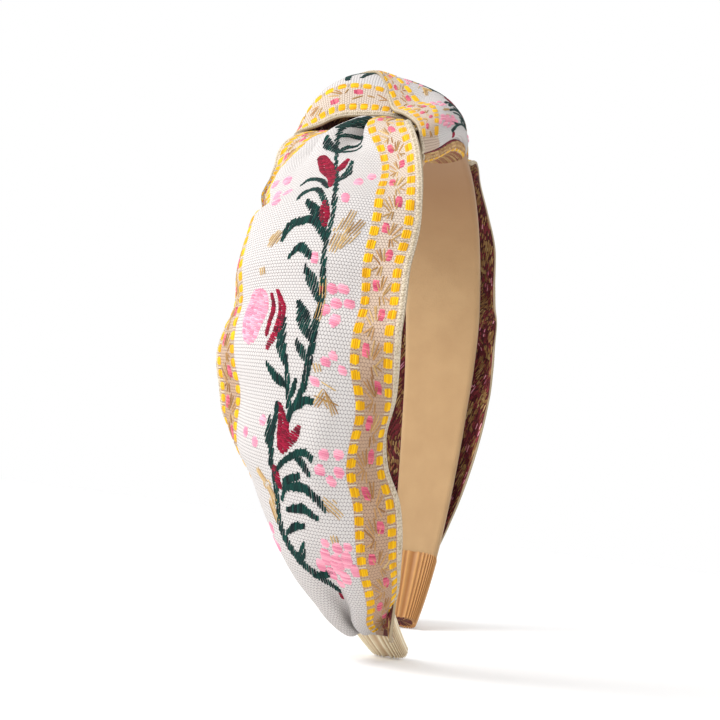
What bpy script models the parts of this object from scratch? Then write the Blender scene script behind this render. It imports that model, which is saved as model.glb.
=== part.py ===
"""Knotted headband.

A sprung plastic band carries a suede-like lining on its inner face. A wide woven ribbon covers its outer
face, is knotted over the crown, and is bound to both tips with ribbed ribbon.

Frame: X runs across the head from arm to arm, Y along the width of the band, Z up. The band stands on its
two tips at Z = 0, and the origin is the middle of its box at that height. Units are metres.

An arc angle is measured at the middle of the band from the crown (0), positive towards the right arm (+X).
"""

import math

import bmesh
import bpy
from mathutils import Matrix, Vector

# Curve of the band's inner face, two quarter ellipses a side
ARC_HALF_WIDTH = 0.0701
ARC_RISE = 0.0615
ARC_DROP = 0.0836
WIDEST_HEIGHT = 0.0750
CROWN_Y = -0.00174
TIP_ANGLE = math.radians(149.6)
TIP_SWEEP = {-1: -0.0163, 1: -0.0042}
SWEEP_POWER = 1.5

# Width of the band
BAND_HALF_WIDTH = 0.01205
TIP_HALF_WIDTH = 0.0036
TAPER_START = math.radians(61.4)
TAPER_POWER = 1.6

# Layers, measured outwards from the inner face
GAP = 0.0003
LINING_THICKNESS = 0.0008
CORE_THICKNESS = 0.0022
CORE_INSET = 0.0008
RIBBON_THICKNESS = 0.0010
WRAP_THICKNESS = 0.0009

# Where the arms flex, and where each layer stops
FLEX_X = 0.0240
FLEX_ANGLE = math.asin(FLEX_X / ARC_HALF_WIDTH)
FLEX_GAP_ANGLE = math.radians(0.35)
LINING_END_ANGLE = math.radians(128.6)
WRAP_ANGLE = math.radians(129.0)
CORE_END_ANGLE = math.radians(147.6)

# Arched ribbon over each arm
RIBBON_START_ANGLE = math.radians(20.8)
RIBBON_OPEN_ANGLE = math.radians(55.0)
RIBBON_CLOSE_ANGLE = math.radians(106.0)
RIBBON_END_ANGLE = math.radians(142.0)
RIBBON_SHIFT = {-1: 0.0032, 1: 0.0008}
RIBBON_CHORD = 0.0405
RIBBON_CHORD_AT_KNOT = 0.0235
RIBBON_CHORD_AT_TIP = 0.0130
RIBBON_RISE = 0.0125
RIBBON_RISE_AT_KNOT = 0.0030
RIBBON_RISE_AT_TIP = 0.0016
RIBBON_ARCH_ANGLE = math.radians(62.0)
WRAP_STEP_ANGLE = math.radians(112.0)

# Knot over the crown
KNOT_RADII = (0.0215, 0.0195, 0.0195)
KNOT_CENTRE_Y = 0.0045
KNOT_CENTRE_ABOVE_BAND = 0.0012
KNOT_SKIRT_BELOW_BAND = 0.0028
KNOT_CROSS_NORMAL = Vector((0.32, -0.90, 0.28)).normalized()
KNOT_CROSS_Y = 0.0010
KNOT_CROSS_HEIGHT = 0.0060
UNDER_PASS_THICKNESS = 0.0026
UNDER_PASS_START_ANGLE = math.radians(-19.0)
UNDER_PASS_END_ANGLE = math.radians(-3.0)

LAYER_CORE_INNER = LINING_THICKNESS + GAP
LAYER_CORE_OUTER = LAYER_CORE_INNER + CORE_THICKNESS

COLOURS = {
    "core": ((0.78, 0.76, 0.70), 0.45),
    "lining": ((0.66, 0.50, 0.34), 0.85),
    "ribbon": ((0.80, 0.76, 0.76), 0.80),
    "wrap": ((0.72, 0.55, 0.33), 0.65),
}


def material(slot):
    """The named Principled material, made once."""
    found = bpy.data.materials.get(slot)
    if found:
        return found
    colour, roughness = COLOURS[slot]
    made = bpy.data.materials.new(slot)
    made.use_nodes = True
    shader = made.node_tree.nodes["Principled BSDF"]
    shader.inputs["Base Color"].default_value = (*colour, 1.0)
    shader.inputs["Roughness"].default_value = roughness
    shader.inputs["Metallic"].default_value = 0.0
    return made


def clamp01(value):
    return max(0.0, min(1.0, value))


def smooth(value):
    """Eases from 0 to 1 as value goes from 0 to 1."""
    t = clamp01(value)
    return t * t * (3.0 - 2.0 * t)


def side_of(angle):
    return -1 if angle < 0 else 1


def arc_point(angle, outward=0.0, across=0.0):
    """A point on the band: outward from its inner face, and across it along Y."""
    drop = ARC_RISE if abs(angle) <= math.pi / 2 else ARC_DROP
    x = ARC_HALF_WIDTH * math.sin(angle)
    z = WIDEST_HEIGHT + drop * math.cos(angle)
    normal = Vector((drop * math.sin(angle), 0.0, ARC_HALF_WIDTH * math.cos(angle))).normalized()
    below = clamp01((abs(angle) - math.pi / 2) / (TIP_ANGLE - math.pi / 2))
    y = CROWN_Y + TIP_SWEEP[side_of(angle)] * below**SWEEP_POWER
    return Vector((x, y + across, z)) + normal * outward


def band_half_width(angle):
    t = clamp01((abs(angle) - TAPER_START) / (TIP_ANGLE - TAPER_START))
    return BAND_HALF_WIDTH + (TIP_HALF_WIDTH - BAND_HALF_WIDTH) * t**TAPER_POWER


def add_object(name, mesh, slot, collection):
    obj = bpy.data.objects.new(name, mesh)
    collection.objects.link(obj)
    if slot:
        mesh.materials.append(material(slot))
    return obj


def surface_object(name, place, across_cuts, along_cuts, slot, collection, closed=False):
    """A grid whose vertices are placed by place(u, v), with u from -1 to 1 and v from 0 to 1."""
    bm = bmesh.new()
    bmesh.ops.create_grid(bm, x_segments=across_cuts, y_segments=along_cuts, size=1.0)
    for vertex in bm.verts:
        vertex.co = place(vertex.co.x, (vertex.co.y + 1.0) / 2.0)
    if closed:
        bmesh.ops.remove_doubles(bm, verts=bm.verts, dist=1e-6)
        bmesh.ops.recalc_face_normals(bm, faces=bm.faces)
    mesh = bpy.data.meshes.new(name)
    bm.to_mesh(mesh)
    bm.free()
    mesh.shade_smooth()
    return add_object(name, mesh, slot, collection)


def thicken(obj, thickness, offset):
    """Turns an open surface into a shell; offset 1 grows it along its normals, -1 against them."""
    solidify = obj.modifiers.new("shell", "SOLIDIFY")
    solidify.thickness = thickness
    solidify.offset = offset
    solidify.use_even_offset = True
    return obj


def face_outwards(obj):
    """Points the surface's normals away from the middle of the arc."""
    middle = Vector((0.0, CROWN_Y, WIDEST_HEIGHT))
    away = sum((face.center - middle).dot(face.normal) for face in obj.data.polygons)
    if away < 0:
        obj.data.flip_normals()


def layer(name, start, end, inner, thickness, half_width, cuts, slot, collection=None):
    """A strip of the band between two arc angles, inner metres out from the inner face."""

    def place(u, v):
        angle = start + (end - start) * v
        return arc_point(angle, inner, half_width(angle) * u)

    obj = surface_object(name, place, 2, cuts, slot, collection or PARTS)
    face_outwards(obj)
    return thicken(obj, thickness, 1.0)


def core_half_width(angle):
    return band_half_width(angle) - CORE_INSET


def ribbon_profile(angle):
    """Chord and rise of the arched ribbon at an arc angle, gathered at the knot and at the tip."""
    a = abs(angle)
    opened = smooth((a - RIBBON_START_ANGLE) / (RIBBON_OPEN_ANGLE - RIBBON_START_ANGLE))
    closed = smooth((a - RIBBON_CLOSE_ANGLE) / (RIBBON_END_ANGLE - RIBBON_CLOSE_ANGLE))
    chord = RIBBON_CHORD_AT_KNOT + (RIBBON_CHORD - RIBBON_CHORD_AT_KNOT) * opened
    chord += (RIBBON_CHORD_AT_TIP - RIBBON_CHORD) * closed
    rise = RIBBON_RISE_AT_KNOT + (RIBBON_RISE - RIBBON_RISE_AT_KNOT) * opened
    rise += (RIBBON_RISE_AT_TIP - RIBBON_RISE) * closed
    return chord, rise


def make_ribbon(name, side):
    """The woven ribbon over one arm: a thin arch that stands off the band."""
    foot = LAYER_CORE_OUTER + GAP
    step = GAP + WRAP_THICKNESS
    edge = math.cos(RIBBON_ARCH_ANGLE)

    def place(u, v):
        angle = side * (RIBBON_START_ANGLE + (RIBBON_END_ANGLE - RIBBON_START_ANGLE) * v)
        chord, rise = ribbon_profile(angle)
        base = foot + step * smooth((abs(angle) - WRAP_STEP_ANGLE) / (WRAP_ANGLE - WRAP_STEP_ANGLE))
        turn = u * RIBBON_ARCH_ANGLE
        lift = rise * (math.cos(turn) - edge) / (1.0 - edge)
        across = chord / 2 * math.sin(turn) / math.sin(RIBBON_ARCH_ANGLE)
        return arc_point(angle, base + lift, RIBBON_SHIFT[side] * chord / RIBBON_CHORD + across)

    obj = surface_object(name, place, 10, 26, "ribbon", PARTS)
    face_outwards(obj)
    return thicken(obj, RIBBON_THICKNESS, 1.0)


def make_end_wrap(name, side):
    """Ribbed ribbon wound round the tip: a sleeve whose grid runs down its outside and back up its inside."""
    inner = LAYER_CORE_INNER - GAP - WRAP_THICKNESS
    outer = LAYER_CORE_OUTER + GAP + WRAP_THICKNESS
    middle = (inner + outer) / 2
    half_depth = (outer - inner) / 2
    corner_power = 0.25
    steps = 8
    loop = 2 * steps + 2

    def rounded(value):
        return math.copysign(abs(value) ** corner_power, value)

    def place(u, v):
        step = round(v * loop) % loop
        outside = step <= steps
        down = step / steps if outside else (loop - 1 - step) / steps
        angle = side * (WRAP_ANGLE + (TIP_ANGLE - WRAP_ANGLE) * down)
        wall = 0.0 if outside else WRAP_THICKNESS
        half_width = core_half_width(angle) + GAP + WRAP_THICKNESS - wall
        across = rounded(math.cos(u * math.pi)) * half_width
        depth = rounded(math.sin(u * math.pi)) * (half_depth - wall)
        return arc_point(angle, middle + depth, across)

    obj = surface_object(name, place, 20, loop, "wrap", PARTS, closed=True)
    foot_depth = 0.01
    tip = arc_point(side * TIP_ANGLE)
    floor = box_cutter("floor_" + name, (tip.x, tip.y, -foot_depth / 2), (0.04, 0.04, foot_depth))
    cut(obj, floor)
    return obj


def hide_cutter(obj):
    obj.hide_render = True
    obj.display_type = "WIRE"
    return obj


def box_cutter(name, centre, size, rotation=None):
    bm = bmesh.new()
    bmesh.ops.create_cube(bm, size=1.0)
    bmesh.ops.scale(bm, vec=size, verts=bm.verts)
    if rotation:
        bmesh.ops.transform(bm, matrix=rotation, verts=bm.verts)
    mesh = bpy.data.meshes.new(name)
    bm.to_mesh(mesh)
    bm.free()
    obj = add_object(name, mesh, None, CUTTERS)
    obj.location = centre
    return hide_cutter(obj)


def cut(obj, cutter, operation="DIFFERENCE"):
    boolean = obj.modifiers.new(operation.lower() + "_" + cutter.name, "BOOLEAN")
    boolean.operation = operation
    boolean.object = cutter
    boolean.solver = "EXACT"


def knot_dome(name):
    """The knot's full rounded form, before it is divided into its two wraps."""
    bm = bmesh.new()
    bmesh.ops.create_uvsphere(bm, u_segments=28, v_segments=16, radius=1.0)
    bmesh.ops.scale(bm, vec=KNOT_RADII, verts=bm.verts)
    mesh = bpy.data.meshes.new(name)
    bm.to_mesh(mesh)
    bm.free()
    mesh.shade_smooth()
    obj = add_object(name, mesh, "ribbon", PARTS)
    band_top = arc_point(0.0, LAYER_CORE_OUTER).z
    obj.location = (0.0, CROWN_Y + KNOT_CENTRE_Y, band_top + KNOT_CENTRE_ABOVE_BAND)
    return obj


def make_knot():
    """Two wraps of ribbon that cross over the crown, and the pass of ribbon under it."""
    reach = 0.08
    depth = 0.012
    inner_face = arc_point(0.0)
    channel = layer(
        "band_channel",
        -RIBBON_OPEN_ANGLE / 2,
        RIBBON_OPEN_ANGLE / 2,
        -depth,
        LAYER_CORE_OUTER + GAP + depth,
        lambda angle: BAND_HALF_WIDTH + GAP,
        12,
        None,
        CUTTERS,
    )
    hide_cutter(channel)
    skirt_bottom = inner_face.z - KNOT_SKIRT_BELOW_BAND
    above = box_cutter(
        "above_skirt", (0.0, CROWN_Y, skirt_bottom + reach / 2), (reach, reach, reach)
    )
    facing = Vector((0.0, 0.0, 1.0)).rotation_difference(KNOT_CROSS_NORMAL).to_matrix().to_4x4()
    crossing = Vector((0.0, CROWN_Y + KNOT_CROSS_Y, arc_point(0.0, LAYER_CORE_OUTER).z + KNOT_CROSS_HEIGHT))
    halves = (("knot_over_wrap", -1.0), ("knot_cross_wrap", 1.0))
    for name, direction in halves:
        wrap = knot_dome(name)
        centre = crossing + KNOT_CROSS_NORMAL * direction * (reach / 2 + GAP / 2)
        half_space = box_cutter(name + "_side", centre, (reach, reach, reach), facing)
        cut(wrap, half_space, "INTERSECT")
        cut(wrap, above, "INTERSECT")
        cut(wrap, channel)
    layer(
        "knot_under_pass",
        UNDER_PASS_START_ANGLE,
        UNDER_PASS_END_ANGLE,
        -GAP - UNDER_PASS_THICKNESS,
        UNDER_PASS_THICKNESS,
        lambda angle: BAND_HALF_WIDTH,
        7,
        "ribbon",
    )


def make_arm(name, side):
    """Lining, core, ribbon and end wrap of one arm, on an empty that marks the line where it flexes."""
    start = side * (FLEX_ANGLE + FLEX_GAP_ANGLE)
    pieces = [
        layer(
            "lining_" + name,
            start,
            side * LINING_END_ANGLE,
            0.0,
            LINING_THICKNESS,
            band_half_width,
            26,
            "lining",
        ),
        layer(
            "core_" + name,
            start,
            side * CORE_END_ANGLE,
            LAYER_CORE_INNER,
            CORE_THICKNESS,
            core_half_width,
            28,
            "core",
        ),
        make_ribbon("ribbon_" + name, side),
        make_end_wrap("end_wrap_" + name, side),
    ]
    hinge = bpy.data.objects.new("flex_" + name, None)
    PARTS.objects.link(hinge)
    hinge.location = arc_point(side * FLEX_ANGLE, (LAYER_CORE_INNER + LAYER_CORE_OUTER) / 2)
    for piece in pieces:
        piece.parent = hinge
        piece.matrix_parent_inverse = Matrix.Translation(-hinge.location)


def make_crown():
    """The part of the band under the knot, which the head carries."""
    end = FLEX_ANGLE - FLEX_GAP_ANGLE
    layer("lining_crown", -end, end, 0.0, LINING_THICKNESS, band_half_width, 9, "lining")
    layer("core_crown", -end, end, LAYER_CORE_INNER, CORE_THICKNESS, core_half_width, 9, "core")


for old in list(bpy.data.objects):
    bpy.data.objects.remove(old)

PARTS = bpy.data.collections.new("knotted_headband")
CUTTERS = bpy.data.collections.new("cutters")
bpy.context.scene.collection.children.link(PARTS)
bpy.context.scene.collection.children.link(CUTTERS)

make_crown()
make_knot()
make_arm("left", -1)
make_arm("right", 1)
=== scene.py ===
"""Looks of the knotted headband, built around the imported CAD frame.

Shapes are worked out in millimetres in the frame's own axes and become metres when a mesh is made. On a
cloth, u runs across the ribbon and v along it, in millimetres on the flat ribbon; on an arm, u is positive
towards +Y. The woven figures are raised floats of yarn laid on the cloth.
"""

import math

import bpy
import numpy as np
from mathutils import Matrix, Vector


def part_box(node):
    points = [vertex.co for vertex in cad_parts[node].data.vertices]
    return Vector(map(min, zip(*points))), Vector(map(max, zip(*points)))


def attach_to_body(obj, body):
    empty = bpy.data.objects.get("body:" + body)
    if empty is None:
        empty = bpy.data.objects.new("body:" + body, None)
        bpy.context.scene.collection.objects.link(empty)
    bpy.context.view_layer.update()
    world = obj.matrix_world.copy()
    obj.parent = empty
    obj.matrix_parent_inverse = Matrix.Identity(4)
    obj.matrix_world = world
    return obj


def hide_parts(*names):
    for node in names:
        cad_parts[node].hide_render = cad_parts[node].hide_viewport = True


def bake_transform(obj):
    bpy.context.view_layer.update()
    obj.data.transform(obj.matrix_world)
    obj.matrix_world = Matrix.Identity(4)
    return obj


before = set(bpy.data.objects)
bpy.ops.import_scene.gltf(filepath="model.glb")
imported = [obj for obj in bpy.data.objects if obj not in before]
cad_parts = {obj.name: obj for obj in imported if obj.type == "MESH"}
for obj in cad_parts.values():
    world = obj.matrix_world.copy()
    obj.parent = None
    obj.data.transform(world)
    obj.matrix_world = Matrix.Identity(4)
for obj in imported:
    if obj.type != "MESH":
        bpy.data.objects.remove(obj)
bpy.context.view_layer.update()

MM = 0.001

# ------ the band's curve, as in the CAD

LINING_THICKNESS = 0.8
CORE_OUTER = 3.3
ARC_HALF_WIDTH = 70.1
ARC_RISE = 61.5
ARC_DROP = 83.6
WIDEST_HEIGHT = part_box("lining_crown")[1].z / MM - LINING_THICKNESS - ARC_RISE
CROWN_Y = (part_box("core_crown")[0].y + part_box("core_crown")[1].y) / 2 / MM
ARCH_MIDDLE = (0.0, CROWN_Y, WIDEST_HEIGHT)
TIP_ANGLE = math.radians(149.6)
TIP_SWEEP = {-1: -16.3, 1: -4.2}
SWEEP_POWER = 1.5
BAND_HALF_WIDTH = 12.05
TIP_HALF_WIDTH = 3.6
TAPER_START = math.radians(61.4)
TAPER_POWER = 1.6
WRAP_ANGLE = math.radians(129.0)

# ------ the ribbon, flat

HALF_RIBBON = 26.6
FIELD_EDGE = 16.0
INNER_DASH_U = 17.0
OUTER_DASH_U = 24.0
SELVEDGE_U = 25.2
RIBBON_THICKNESS = 0.7
DASH_PITCH = 3.75
DASH_LENGTH = 3.15
DASH_WIDTH = 1.9
WARP_PITCH = 0.72
WEFT_PITCH = 0.7


def smooth(t):
    """Eases from 0 to 1."""
    t = np.clip(t, 0.0, 1.0)
    return t * t * (3.0 - 2.0 * t)


def bump(x, centre, width):
    """A rounded hump of height 1."""
    return np.exp(-(((x - centre) / width) ** 2))


def arc(side, angle, outward, across):
    """Points of the band, in mm: outward from its inner face, across along Y. Arrays broadcast."""
    angle, outward, across = np.broadcast_arrays(angle, outward, across)
    drop = np.where(angle <= math.pi / 2, ARC_RISE, ARC_DROP)
    x = ARC_HALF_WIDTH * np.sin(angle)
    z = WIDEST_HEIGHT + drop * np.cos(angle)
    nx, nz = drop * np.sin(angle), ARC_HALF_WIDTH * np.cos(angle)
    size = np.hypot(nx, nz)
    below = np.clip((angle - math.pi / 2) / (TIP_ANGLE - math.pi / 2), 0, 1)
    y = CROWN_Y + TIP_SWEEP[side] * below**SWEEP_POWER
    return np.stack([side * (x + nx / size * outward), y + across, z + nz / size * outward], -1)


def half_width(angle):
    """Half the band's width, with its lining, at an angle from the crown."""
    t = np.clip((angle - TAPER_START) / (TIP_ANGLE - TAPER_START), 0, 1)
    return BAND_HALF_WIDTH + (TIP_HALF_WIDTH - BAND_HALF_WIDTH) * t**TAPER_POWER


# ------ cloth grids


class Cloth:
    """A sheet of ribbon as a regular grid: grid[j, i] is the point at v[j], u[i], in mm."""

    def __init__(self, grid, u, v):
        self.grid, self.u, self.v = grid, u, v
        along_u = np.gradient(grid, axis=1)
        along_v = np.gradient(grid, axis=0)
        normal = np.cross(along_u, along_v)
        self.normal = normal / np.linalg.norm(normal, axis=-1)[..., None]
        self.hand = 1

    def turned(self):
        """Swaps the front and the back."""
        self.normal = -self.normal
        self.hand = -self.hand
        return self

    def face(self, inside):
        """Turns the front away from a point inside."""
        middle = self.grid[len(self.v) // 2, len(self.u) // 2]
        here = self.normal[len(self.v) // 2, len(self.u) // 2]
        if np.dot(here, middle - np.asarray(inside)) < 0:
            self.turned()
        return self

    def flat(self):
        """Each grid point's u and v, and 0 for its tone, as the materials read them."""
        u, v = np.meshgrid(self.u, self.v)
        return np.stack([u, v, 0 * u], -1).reshape(-1, 3)

    def at(self, u, v, lift):
        """Points on the cloth at flat places u, v, raised by lift, all in mm."""
        fu = np.clip((u - self.u[0]) / (self.u[1] - self.u[0]), 0, len(self.u) - 1.001)
        fv = np.clip((v - self.v[0]) / (self.v[1] - self.v[0]), 0, len(self.v) - 1.001)
        i, j = fu.astype(int), fv.astype(int)
        a, b = (fu - i)[..., None], (fv - j)[..., None]

        def mix(grid):
            top = grid[j, i] * (1 - a) + grid[j, i + 1] * a
            low = grid[j + 1, i] * (1 - a) + grid[j + 1, i + 1] * a
            return top * (1 - b) + low * b

        return mix(self.grid) + mix(self.normal) * np.asarray(lift)[..., None]


def grid_faces(rows, columns, flip=False, base=0):
    """Quads between the points of a grid whose first point is number base."""
    j, i = np.meshgrid(np.arange(rows - 1), np.arange(columns - 1), indexing="ij")
    a = (base + j * columns + i).ravel()
    quads = np.stack([a, a + 1, a + 1 + columns, a + columns], 1)
    return quads[:, ::-1] if flip else quads


def new_mesh(name, points_mm, faces, materials, index, flat):
    """A mesh object from points in mm. flat is each point's place on the cloth, kept for the materials."""
    mesh = bpy.data.meshes.new(name)
    mesh.from_pydata((np.asarray(points_mm) * MM).tolist(), [], np.asarray(faces).tolist())
    for material in materials:
        mesh.materials.append(material)
    mesh.polygons.foreach_set("material_index", np.asarray(index, np.int32))
    layer = mesh.attributes.new("cloth", "FLOAT_VECTOR", "POINT")
    layer.data.foreach_set("vector", np.asarray(flat, np.float32).ravel())
    mesh.polygons.foreach_set("use_smooth", np.full(len(mesh.polygons), True))
    mesh.update()
    obj = bpy.data.objects.new(name, mesh)
    bpy.context.scene.collection.objects.link(obj)
    return obj


def grid_rim(rows, columns):
    """The grid's outer points, once round."""
    return np.concatenate(
        [
            np.arange(columns),
            np.arange(1, rows) * columns + columns - 1,
            (rows - 1) * columns + np.arange(columns - 2, -1, -1),
            np.arange(rows - 2, 0, -1) * columns,
        ]
    )


def sheet_mesh(name, cloth, thickness, materials):
    """The cloth with its real thickness: front, back and rim faces take materials 0, 1 and 2."""
    rows, columns = cloth.grid.shape[:2]
    count = rows * columns
    front = cloth.grid + cloth.normal * thickness / 2
    back = cloth.grid - cloth.normal * thickness / 2
    points = np.concatenate([front.reshape(-1, 3), back.reshape(-1, 3)])
    flat = np.concatenate([cloth.flat(), cloth.flat()])
    front_faces = grid_faces(rows, columns, flip=cloth.hand < 0)
    back_faces = grid_faces(rows, columns, flip=cloth.hand > 0, base=count)
    ring = grid_rim(rows, columns)
    following = np.roll(ring, -1)
    rim = np.stack([following, ring, ring + count, following + count], 1)
    if cloth.hand < 0:
        rim = rim[:, ::-1]
    faces = np.concatenate([front_faces, back_faces, rim])
    index = np.repeat([0, 1, 2], [len(front_faces), len(back_faces), len(rim)])
    return new_mesh(name, points, faces, materials, index, flat)


def through(keys, x):
    """A smooth curve through keyed values: keys maps places to values, and x may be an array."""
    places = np.array(sorted(keys), float)
    values = np.array([keys[place] for place in sorted(keys)], float)
    slopes = np.gradient(values, places, axis=0)
    x = np.clip(np.asarray(x, float), places[0], places[-1])
    i = np.clip(np.searchsorted(places, x, side="right") - 1, 0, len(places) - 2)
    step = places[i + 1] - places[i]
    t = (x - places[i]) / step
    if values.ndim > 1:
        t, step = t[..., None], step[..., None]
    start = values[i] * (2 * t**3 - 3 * t**2 + 1) + slopes[i] * step * (t**3 - 2 * t**2 + t)
    end = values[i + 1] * (3 * t**2 - 2 * t**3) + slopes[i + 1] * step * (t**3 - t**2)
    return start + end


def lengths(steps):
    """The length gone by each row, from the steps between rows."""
    return np.concatenate([[0.0], np.cumsum(steps)])


def respaced(grid, v, even):
    """A grid with its rows, which lie at the lengths v, moved to the lengths in even."""
    columns = []
    for i in range(grid.shape[1]):
        columns.append(np.stack([np.interp(even, v, grid[:, i, k]) for k in range(3)], -1))
    return np.stack(columns, 1)


# ------ the ribbon along each arm

# In degrees from the crown: the first stretch is hidden in the knot.
RIBBON_HIDDEN_START = 9.0
RIBBON_START = 21.0
RIBBON_END = 142.0
U_STEPS = 107
V_STEPS = 264
# How far outward of the band's inner face the ribbon's length is measured.
LENGTH_RISE = 13.0

# How the ribbon lies at places along the arm, given in degrees from the crown. tilt and spread are angles of
# its section in radians, edge the place of its -Y edge across the band, rise its top over the band's inner
# face, near and far the extra turn of its -Y and +Y borders, curl the turn of its +Y half round the band,
# pleat the turn of its one deep pleat, pinch its narrowing, and chord the width its folds gather it to.
LEFT_ARM = {
    "tilt": {9: -0.12, 19: -0.14, 34: 0.02, 41: 0.2, 48: 0.36, 54: 0.42, 62: 0.38, 75: 0.26, 90: 0.29,
             104: 0.31, 121: 0.36, 132: 0.3, 142: 0.2},
    "spread": {9: 0.4, 19: 0.4, 34: 0.54, 46: 0.66, 60: 0.73, 75: 0.87, 90: 1.06, 104: 1.26, 121: 1.35,
               130: 1.45, 136: 1.6, 142: 1.7},
    "edge": {9: -6.5, 19: -6.0, 30: -8.0, 40: -9.5, 46: -10.5, 51: -12.0, 56: -14.8, 62: -17.8, 70: -20.4,
             82: -20.7, 94: -20.2, 100: -17.6, 106: -14.4, 110: -14.7, 115: -17.2, 119: -17.0, 122: -15.9,
             126: -13.6, 131: -10.8, 135: -8.2, 139: -5.8, 142: -4.0},
    "rise": {9: 4.3, 19: 5.0, 30: 6.6, 36: 8.3, 41: 10.0, 46: 12.3, 51: 15.0, 57: 17.0, 64: 16.9, 75: 16.6,
             90: 16.5, 104: 16.5, 118: 16.2, 128: 14.6, 134: 12.4, 139: 9.0, 142: 6.0},
    "near": {19: 0.1, 46: 0.1, 60: 0.8, 75: 0.35, 90: 0.85, 104: -0.45, 112: -0.1, 117: 0.1, 122: 0.05,
             127: -0.25, 131: -0.25, 136: 0.0, 142: 0.0},
    "far": {19: -0.1, 34: -0.1, 46: 0.3, 60: 0.35, 75: 0.4, 90: -0.1, 104: -0.6, 112: -0.1, 121: 0.2,
            142: 0.4},
    "curl": {9: 0.0, 60: 0.0, 94: 0.0, 104: 0.0, 112: 0.05, 121: 0.35, 127: 0.9, 132: 1.5, 137: 2.0,
             142: 2.3},
    "pleat": {9: 0.0, 90: 0.0, 118: 0.0, 126: 0.5, 133: 1.5, 142: 1.9},
    "pinch": {9: 1.0, 90: 1.0, 122: 1.0, 128: 0.98, 133: 0.88, 137: 0.74, 142: 0.62},
    "chord": {9: 29, 19: 32.5, 26: 35, 34: 37.5, 41: 38, 46: 37.8, 51: 38.8, 57: 42, 63: 46.5, 72: 51.6,
              104: 50, 113: 46, 122: 41, 128: 31, 133: 22, 138: 12, 142: 6},
}
RIGHT_ARM = {
    "tilt": {9: 0.0, 104: 0.0, 120: 0.12, 142: 0.2},
    "spread": {9: 0.35, 19: 0.25, 26: 0.4, 34: 0.65, 46: 0.95, 60: 1.05, 75: 1.1, 90: 1.15, 112: 1.2,
               127: 1.35, 142: 1.6},
    "edge": {9: -12.0, 13: -13.2, 19: -13.2, 29: -12.6, 38: -14.0, 47: -16.5, 60: -17.5, 75: -18.2, 90: -17.8,
             99: -16.2, 105: -14.4, 113: -11.8, 121: -8.8, 127: -6.6, 135: -5.4, 142: -5.0},
    "rise": {9: 4.6, 12: 7.2, 15: 10.0, 19: 11.8, 24: 13.2, 30: 14.4, 38: 15.8, 46: 16.4, 60: 16.8, 90: 16.4,
             104: 15.5, 112: 14.0, 120: 12.0, 127: 10.0, 142: 6.6},
    "near": {19: 0.1, 48: 0.35, 60: -0.15, 68: 0.8, 76: -0.1, 88: 0.4, 104: 0.0, 116: 0.2, 127: 0.5,
             142: 0.8},
    "far": {19: 0.1, 46: -0.2, 60: 0.4, 75: -0.2, 90: 0.4, 104: -0.1, 142: 0.4},
    "curl": {9: 0.0, 60: 0.0, 94: 0.0, 104: 0.0, 112: 0.2, 127: 0.8, 142: 1.0},
    "pleat": {9: 0.0, 142: 0.0},
    "pinch": {9: 1.0, 142: 1.0},
    "chord": {9: 22, 19: 27, 26: 33, 34: 38, 46: 44, 60: 50, 95: 50, 104: 38, 112: 31, 120: 24, 127: 19,
              135: 15, 142: 12},
}
# The folds that gather the ribbon at both ends: their places across it, widths, and turns.
UPPER_FOLDS = ((-13.2, 3.0, 1.15), (-6.0, 3.2, -0.8), (3.0, 3.6, 0.6), (9.5, 3.4, -0.25))
LOWER_FOLDS = ((-8.6, 2.2, 1.3), (-3.6, 2.4, -1.15))
MOST_FOLD = 2.9
HALVINGS = 14
# The number of rows that a fold's depth is averaged over, so that it changes evenly.
FOLD_BLEND = 13
# The pleat turns one way on one side of its middle, and back on the other.
PLEAT_U = -8.6
PLEAT_REACH = 2.4
PLEAT_WIDTH = 1.9
ARCH_POWER = 1.2
BORDER_TURN_U = 13
BORDER_TURN_REACH = 9
CURL_U = -4
CURL_REACH = 12
# The room that the ribbon keeps from the band: beside its edges, over its outer face, and past them.
SIDE_GAP = 0.9
OUTER_GAP = 0.8
SIDE_DROP = 9.0
SIDE_REACH = 3.5


def open_turns(lies, u):
    """The section's turns before it is gathered: its tilt, its arch, its borders' turns and its curl."""
    s = u / HALF_RIBBON
    turns = lies["tilt"] + lies["spread"] * np.sign(s) * np.abs(s) ** ARCH_POWER
    near = lies["near"] * smooth((-u - BORDER_TURN_U) / BORDER_TURN_REACH)
    turns = turns + near + lies["far"] * smooth((u - BORDER_TURN_U) / BORDER_TURN_REACH)
    return turns + lies["curl"] * smooth((u - CURL_U) / CURL_REACH)


def fold_amount(turns, folds, chords, step):
    """How far each section folds so as to be as wide as its chord, found by halving."""

    def chord(amount):
        return np.cos(turns + amount * folds).sum(1, keepdims=True) * step

    low = np.zeros_like(chords)
    high = np.full_like(chords, MOST_FOLD)
    for _ in range(HALVINGS):
        middle = (low + high) / 2
        wide = chord(middle) > chords
        low, high = np.where(wide, middle, low), np.where(wide, high, middle)
    amount = np.where(chord(np.zeros_like(low)) > chords, low, 0.0)
    padded = np.pad(amount[:, 0], FOLD_BLEND // 2, mode="edge")
    return np.convolve(padded, np.ones(FOLD_BLEND) / FOLD_BLEND, mode="valid")[:, None]


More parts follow.
